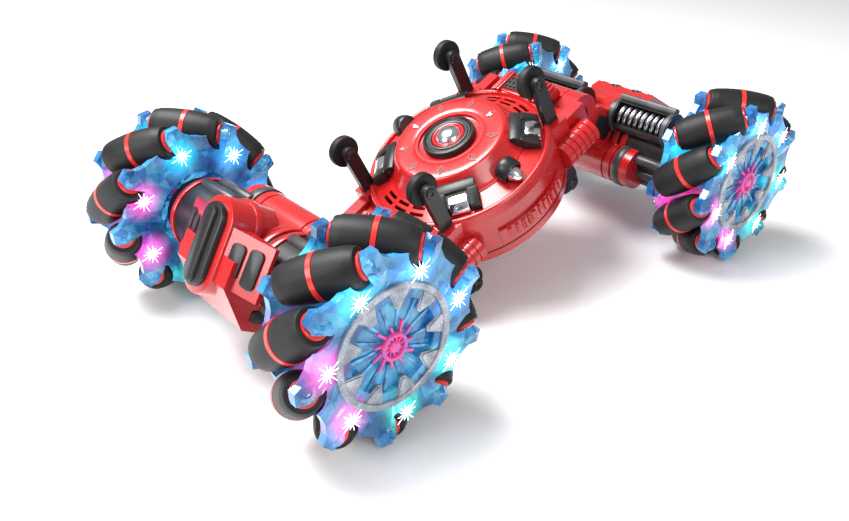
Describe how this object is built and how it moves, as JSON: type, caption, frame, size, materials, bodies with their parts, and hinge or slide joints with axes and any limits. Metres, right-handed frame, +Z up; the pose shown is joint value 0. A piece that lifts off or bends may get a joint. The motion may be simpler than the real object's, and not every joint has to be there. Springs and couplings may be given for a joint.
{
  "type": "rc stunt car",
  "caption": "Folding radio-controlled stunt car: a round red body hinged between two drive modules on translucent blue roller wheels, with small casters above and below.",
  "frame": {"origin": "on the ground, midway between the four wheels", "axes": "+X from the front axle to the rear axle, +Y to the car's left, +Z up"},
  "size_m": [0.3603, 0.206, 0.1225],
  "materials": {
    "red_plastic": "glossy moulded red plastic",
    "black_plastic": "satin black moulded plastic",
    "rubber": "matte black rubber with red plastic rings",
    "blue_hub": "translucent sky-blue plastic, lit from inside",
    "battery_wrap": "blue shrink wrap",
    "circuit_board": "green solder mask",
    "motor_steel": "plated steel can"
  },
  "bodies": {
    "body": {"body_upper_shell": "red_plastic", "body_lower_shell": "red_plastic", "caster_arms": "black_plastic", "lamp_housings": "black_plastic", "battery_pack": "battery_wrap", "control_board": "circuit_board", "fold_motor": "motor_steel"},
    "rear_module": {"rear_module_casing": "red_plastic", "rear_drive_units": "black_plastic"},
    "front_module": {"front_module_casing": "red_plastic", "front_drive_units": "black_plastic"},
    "power_switch": {"power_switch": "black_plastic"},
    "front_right_wheel": {"front_right_wheel_hub": "blue_hub"},
    "front_left_wheel": {"front_left_wheel_hub": "blue_hub"},
    "rear_right_wheel": {"rear_right_wheel_hub": "blue_hub"},
    "rear_left_wheel": {"rear_left_wheel_hub": "blue_hub"},
    "caster_top_rear_left": {"caster_top_rear_left": "rubber"},
    "caster_top_rear_right": {"caster_top_rear_right": "rubber"},
    "caster_top_front_left": {"caster_top_front_left": "rubber"},
    "caster_top_front_right": {"caster_top_front_right": "rubber"},
    "caster_bottom_rear_left": {"caster_bottom_rear_left": "rubber"},
    "caster_bottom_rear_right": {"caster_bottom_rear_right": "rubber"},
    "caster_bottom_front_left": {"caster_bottom_front_left": "rubber"},
    "caster_bottom_front_right": {"caster_bottom_front_right": "rubber"},
    "front_right_roller_1": {"front_right_roller_1": "rubber"},
    "front_right_roller_2": {"front_right_roller_2": "rubber"},
    "front_right_roller_3": {"front_right_roller_3": "rubber"},
    "front_right_roller_4": {"front_right_roller_4": "rubber"},
    "front_right_roller_5": {"front_right_roller_5": "rubber"},
    "front_right_roller_6": {"front_right_roller_6": "rubber"},
    "front_right_roller_7": {"front_right_roller_7": "rubber"},
    "front_right_roller_8": {"front_right_roller_8": "rubber"},
    "front_right_roller_9": {"front_right_roller_9": "rubber"},
    "front_left_roller_1": {"front_left_roller_1": "rubber"},
    "front_left_roller_2": {"front_left_roller_2": "rubber"},
    "front_left_roller_3": {"front_left_roller_3": "rubber"},
    "front_left_roller_4": {"front_left_roller_4": "rubber"},
    "front_left_roller_5": {"front_left_roller_5": "rubber"},
    "front_left_roller_6": {"front_left_roller_6": "rubber"},
    "front_left_roller_7": {"front_left_roller_7": "rubber"},
    "front_left_roller_8": {"front_left_roller_8": "rubber"},
    "front_left_roller_9": {"front_left_roller_9": "rubber"},
    "rear_right_roller_1": {"rear_right_roller_1": "rubber"},
    "rear_right_roller_2": {"rear_right_roller_2": "rubber"},
    "rear_right_roller_3": {"rear_right_roller_3": "rubber"},
    "rear_right_roller_4": {"rear_right_roller_4": "rubber"},
    "rear_right_roller_5": {"rear_right_roller_5": "rubber"},
    "rear_right_roller_6": {"rear_right_roller_6": "rubber"},
    "rear_right_roller_7": {"rear_right_roller_7": "rubber"},
    "rear_right_roller_8": {"rear_right_roller_8": "rubber"},
    "rear_right_roller_9": {"rear_right_roller_9": "rubber"},
    "rear_left_roller_1": {"rear_left_roller_1": "rubber"},
    "rear_left_roller_2": {"rear_left_roller_2": "rubber"},
    "rear_left_roller_3": {"rear_left_roller_3": "rubber"},
    "rear_left_roller_4": {"rear_left_roller_4": "rubber"},
    "rear_left_roller_5": {"rear_left_roller_5": "rubber"},
    "rear_left_roller_6": {"rear_left_roller_6": "rubber"},
    "rear_left_roller_7": {"rear_left_roller_7": "rubber"},
    "rear_left_roller_8": {"rear_left_roller_8": "rubber"},
    "rear_left_roller_9": {"rear_left_roller_9": "rubber"}
  },
  "joints": [
    {"name": "rear_fold", "type": "hinge", "parent": "body", "child": "rear_module", "pos_m": [0.06591, 0, 0.08579], "axis": [0, -1, 0], "range_deg": [0, 115.36]},
    {"name": "front_fold", "type": "hinge", "parent": "body", "child": "front_module", "pos_m": [-0.06591, 0, 0.01421], "axis": [0, -1, 0], "range_deg": [0, 115.36]},
    {"name": "front_right_wheel_spin", "type": "hinge", "parent": "front_module", "child": "front_right_wheel", "pos_m": [-0.13, -0.0822, 0.05], "axis": [0, 1, 0], "continuous": true},
    {"name": "front_left_wheel_spin", "type": "hinge", "parent": "front_module", "child": "front_left_wheel", "pos_m": [-0.13, 0.0822, 0.05], "axis": [0, 1, 0], "continuous": true},
    {"name": "rear_right_wheel_spin", "type": "hinge", "parent": "rear_module", "child": "rear_right_wheel", "pos_m": [0.13, -0.0822, 0.05], "axis": [0, 1, 0], "continuous": true},
    {"name": "rear_left_wheel_spin", "type": "hinge", "parent": "rear_module", "child": "rear_left_wheel", "pos_m": [0.13, 0.0822, 0.05], "axis": [0, 1, 0], "continuous": true},
    {"name": "power_switch_slide", "type": "slide", "parent": "body", "child": "power_switch", "axis": [0.8788, 0, 0.4772], "range_m": [0, 0.004]},
    {"name": "caster_top_rear_left_spin", "type": "hinge", "parent": "body", "child": "caster_top_rear_left", "pos_m": [0.01776, 0.0377, 0.11369], "axis": [0, 1, 0], "continuous": true},
    {"name": "caster_top_rear_right_spin", "type": "hinge", "parent": "body", "child": "caster_top_rear_right", "pos_m": [0.01776, -0.0279, 0.11369], "axis": [0, 1, 0], "continuous": true},
    {"name": "caster_top_front_left_spin", "type": "hinge", "parent": "body", "child": "caster_top_front_left", "pos_m": [-0.05606, 0.0377, 0.07361], "axis": [0, 1, 0], "continuous": true},
    {"name": "caster_top_front_right_spin", "type": "hinge", "parent": "body", "child": "caster_top_front_right", "pos_m": [-0.05606, -0.0279, 0.07361], "axis": [0, 1, 0], "continuous": true},
    {"name": "caster_bottom_rear_left_spin", "type": "hinge", "parent": "body", "child": "caster_bottom_rear_left", "pos_m": [0.05283, 0.0377, 0.0491], "axis": [0, 1, 0], "continuous": true},
    {"name": "caster_bottom_rear_right_spin", "type": "hinge", "parent": "body", "child": "caster_bottom_rear_right", "pos_m": [0.05283, -0.0279, 0.0491], "axis": [0, 1, 0], "continuous": true},
    {"name": "caster_bottom_front_left_spin", "type": "hinge", "parent": "body", "child": "caster_bottom_front_left", "pos_m": [-0.02099, 0.0377, 0.00902], "axis": [0, 1, 0], "continuous": true},
    {"name": "caster_bottom_front_right_spin", "type": "hinge", "parent": "body", "child": "caster_bottom_front_right", "pos_m": [-0.02099, -0.0279, 0.00902], "axis": [0, 1, 0], "continuous": true},
    {"name": "front_right_roller_1_spin", "type": "hinge", "parent": "front_right_wheel", "child": "front_right_roller_1", "pos_m": [-0.15214, -0.0822, 0.08332], "axis": [0.5573, -0.7431, 0.3703], "continuous": true},
    {"name": "front_right_roller_2_spin", "type": "hinge", "parent": "front_right_wheel", "child": "front_right_roller_2", "pos_m": [-0.16837, -0.0822, 0.06129], "axis": [0.1889, -0.7431, 0.6419], "continuous": true},
    {"name": "front_right_roller_3_spin", "type": "hinge", "parent": "front_right_wheel", "child": "front_right_roller_3", "pos_m": [-0.16665, -0.0822, 0.03399], "axis": [-0.2679, -0.7431, 0.6132], "continuous": true},
    {"name": "front_right_roller_4_spin", "type": "hinge", "parent": "front_right_wheel", "child": "front_right_roller_4", "pos_m": [-0.14778, -0.0822, 0.01417], "axis": [-0.5993, -0.7431, 0.2975], "continuous": true},
    {"name": "front_right_roller_5_spin", "type": "hinge", "parent": "front_right_wheel", "child": "front_right_roller_5", "pos_m": [-0.12059, -0.0822, 0.01112], "axis": [-0.6504, -0.7431, -0.1573], "continuous": true},
    {"name": "front_right_roller_6_spin", "type": "hinge", "parent": "front_right_wheel", "child": "front_right_roller_6", "pos_m": [-0.0978, -0.0822, 0.02626], "axis": [-0.3971, -0.7431, -0.5386], "continuous": true},
    {"name": "front_right_roller_7_spin", "type": "hinge", "parent": "front_right_wheel", "child": "front_right_roller_7", "pos_m": [-0.09008, -0.0822, 0.05251], "axis": [0.042, -0.7431, -0.6678], "continuous": true},
    {"name": "front_right_roller_8_spin", "type": "hinge", "parent": "front_right_wheel", "child": "front_right_roller_8", "pos_m": [-0.10103, -0.0822, 0.07759], "axis": [0.4614, -0.7431, -0.4846], "continuous": true},
    {"name": "front_right_roller_9_spin", "type": "hinge", "parent": "front_right_wheel", "child": "front_right_roller_9", "pos_m": [-0.12554, -0.0822, 0.08975], "axis": [0.665, -0.7431, -0.0746], "continuous": true},
    {"name": "front_left_roller_1_spin", "type": "hinge", "parent": "front_left_wheel", "child": "front_left_roller_1", "pos_m": [-0.15102, 0.0822, 0.08403], "axis": [-0.5693, 0.7431, -0.3516], "continuous": true},
    {"name": "front_left_roller_2_spin", "type": "hinge", "parent": "front_left_wheel", "child": "front_left_roller_2", "pos_m": [-0.12423, 0.0822, 0.08958], "axis": [-0.6621, 0.7431, 0.0966], "continuous": true},
    {"name": "front_left_roller_3_spin", "type": "hinge", "parent": "front_left_wheel", "child": "front_left_roller_3", "pos_m": [-0.10013, 0.0822, 0.07661], "axis": [-0.4451, 0.7431, 0.4996], "continuous": true},
    {"name": "front_left_roller_4_spin", "type": "hinge", "parent": "front_left_wheel", "child": "front_left_roller_4", "pos_m": [-0.09002, 0.0822, 0.05119], "axis": [-0.0199, 0.7431, 0.6688], "continuous": true},
    {"name": "front_left_roller_5_spin", "type": "hinge", "parent": "front_left_wheel", "child": "front_left_roller_5", "pos_m": [-0.09861, 0.0822, 0.02521], "axis": [0.4147, 0.7431, 0.5251], "continuous": true},
    {"name": "front_left_roller_6_spin", "type": "hinge", "parent": "front_left_wheel", "child": "front_left_roller_6", "pos_m": [-0.12189, 0.0822, 0.01083], "axis": [0.6552, 0.7431, 0.1357], "continuous": true},
    {"name": "front_left_roller_7_spin", "type": "hinge", "parent": "front_left_wheel", "child": "front_left_roller_7", "pos_m": [-0.14896, 0.0822, 0.01478], "axis": [0.5892, 0.7431, -0.3172], "continuous": true},
    {"name": "front_left_roller_8_spin", "type": "hinge", "parent": "front_left_wheel", "child": "front_left_roller_8", "pos_m": [-0.16717, 0.0822, 0.03521], "axis": [0.2474, 0.7431, -0.6217], "continuous": true},
    {"name": "front_left_roller_9_spin", "type": "hinge", "parent": "front_left_wheel", "child": "front_left_roller_9", "pos_m": [-0.16798, 0.0822, 0.06256], "axis": [-0.2101, 0.7431, -0.6353], "continuous": true},
    {"name": "rear_right_roller_1_spin", "type": "hinge", "parent": "rear_right_wheel", "child": "rear_right_roller_1", "pos_m": [0.1081, -0.0822, 0.08347], "axis": [0.5599, -0.7431, 0.3664], "continuous": true},
    {"name": "rear_right_roller_2_spin", "type": "hinge", "parent": "rear_right_wheel", "child": "rear_right_roller_2", "pos_m": [0.09171, -0.0822, 0.06156], "axis": [0.1934, -0.7431, 0.6406], "continuous": true},
    {"name": "rear_right_roller_3_spin", "type": "hinge", "parent": "rear_right_wheel", "child": "rear_right_roller_3", "pos_m": [0.09323, -0.0822, 0.03424], "axis": [-0.2636, -0.7431, 0.615], "continuous": true},
    {"name": "rear_right_roller_4_spin", "type": "hinge", "parent": "rear_right_wheel", "child": "rear_right_roller_4", "pos_m": [0.11196, -0.0822, 0.0143], "axis": [-0.5973, -0.7431, 0.3017], "continuous": true},
    {"name": "rear_right_roller_5_spin", "type": "hinge", "parent": "rear_right_wheel", "child": "rear_right_roller_5", "pos_m": [0.13913, -0.0822, 0.01106], "axis": [-0.6515, -0.7431, -0.1528], "continuous": true},
    {"name": "rear_right_roller_6_spin", "type": "hinge", "parent": "rear_right_wheel", "child": "rear_right_roller_6", "pos_m": [0.16203, -0.0822, 0.02604], "axis": [-0.4008, -0.7431, -0.5358], "continuous": true},
    {"name": "rear_right_roller_7_spin", "type": "hinge", "parent": "rear_right_wheel", "child": "rear_right_roller_7", "pos_m": [0.16994, -0.0822, 0.05223], "axis": [0.0374, -0.7431, -0.6681], "continuous": true},
    {"name": "rear_right_roller_8_spin", "type": "hinge", "parent": "rear_right_wheel", "child": "rear_right_roller_8", "pos_m": [0.15916, -0.0822, 0.07738], "axis": [0.4581, -0.7431, -0.4878], "continuous": true},
    {"name": "rear_right_roller_9_spin", "type": "hinge", "parent": "rear_right_wheel", "child": "rear_right_roller_9", "pos_m": [0.13474, -0.0822, 0.08972], "axis": [0.6644, -0.7431, -0.0792], "continuous": true},
    {"name": "rear_left_roller_1_spin", "type": "hinge", "parent": "rear_left_wheel", "child": "rear_left_roller_1", "pos_m": [0.11203, 0.0822, 0.08574], "axis": [-0.5978, 0.7431, -0.3007], "continuous": true},
    {"name": "rear_left_roller_2_spin", "type": "hinge", "parent": "rear_left_wheel", "child": "rear_left_roller_2", "pos_m": [0.1392, 0.0822, 0.08893], "axis": [-0.6512, 0.7431, 0.1539], "continuous": true},
    {"name": "rear_left_roller_3_spin", "type": "hinge", "parent": "rear_left_wheel", "child": "rear_left_roller_3", "pos_m": [0.16207, 0.0822, 0.0739], "axis": [-0.3999, 0.7431, 0.5365], "continuous": true},
    {"name": "rear_left_roller_4_spin", "type": "hinge", "parent": "rear_left_wheel", "child": "rear_left_roller_4", "pos_m": [0.16993, 0.0822, 0.0477], "axis": [0.0385, 0.7431, 0.668], "continuous": true},
    {"name": "rear_left_roller_5_spin", "type": "hinge", "parent": "rear_left_wheel", "child": "rear_left_roller_5", "pos_m": [0.15911, 0.0822, 0.02257], "axis": [0.4589, 0.7431, 0.487], "continuous": true},
    {"name": "rear_left_roller_6_spin", "type": "hinge", "parent": "rear_left_wheel", "child": "rear_left_roller_6", "pos_m": [0.13467, 0.0822, 0.01027], "axis": [0.6646, 0.7431, 0.0781], "continuous": true},
    {"name": "rear_left_roller_7_spin", "type": "hinge", "parent": "rear_left_wheel", "child": "rear_left_roller_7", "pos_m": [0.10804, 0.0822, 0.01657], "axis": [0.5593, 0.7431, -0.3674], "continuous": true},
    {"name": "rear_left_roller_8_spin", "type": "hinge", "parent": "rear_left_wheel", "child": "rear_left_roller_8", "pos_m": [0.09169, 0.0822, 0.03851], "axis": [0.1923, 0.7431, -0.6409], "continuous": true},
    {"name": "rear_left_roller_9_spin", "type": "hinge", "parent": "rear_left_wheel", "child": "rear_left_roller_9", "pos_m": [0.09326, 0.0822, 0.06582], "axis": [-0.2647, 0.7431, -0.6146], "continuous": true}
  ],
  "couplings": [
    {"joint": "front_fold", "follows": "rear_fold", "ratio": 1}
  ]
}
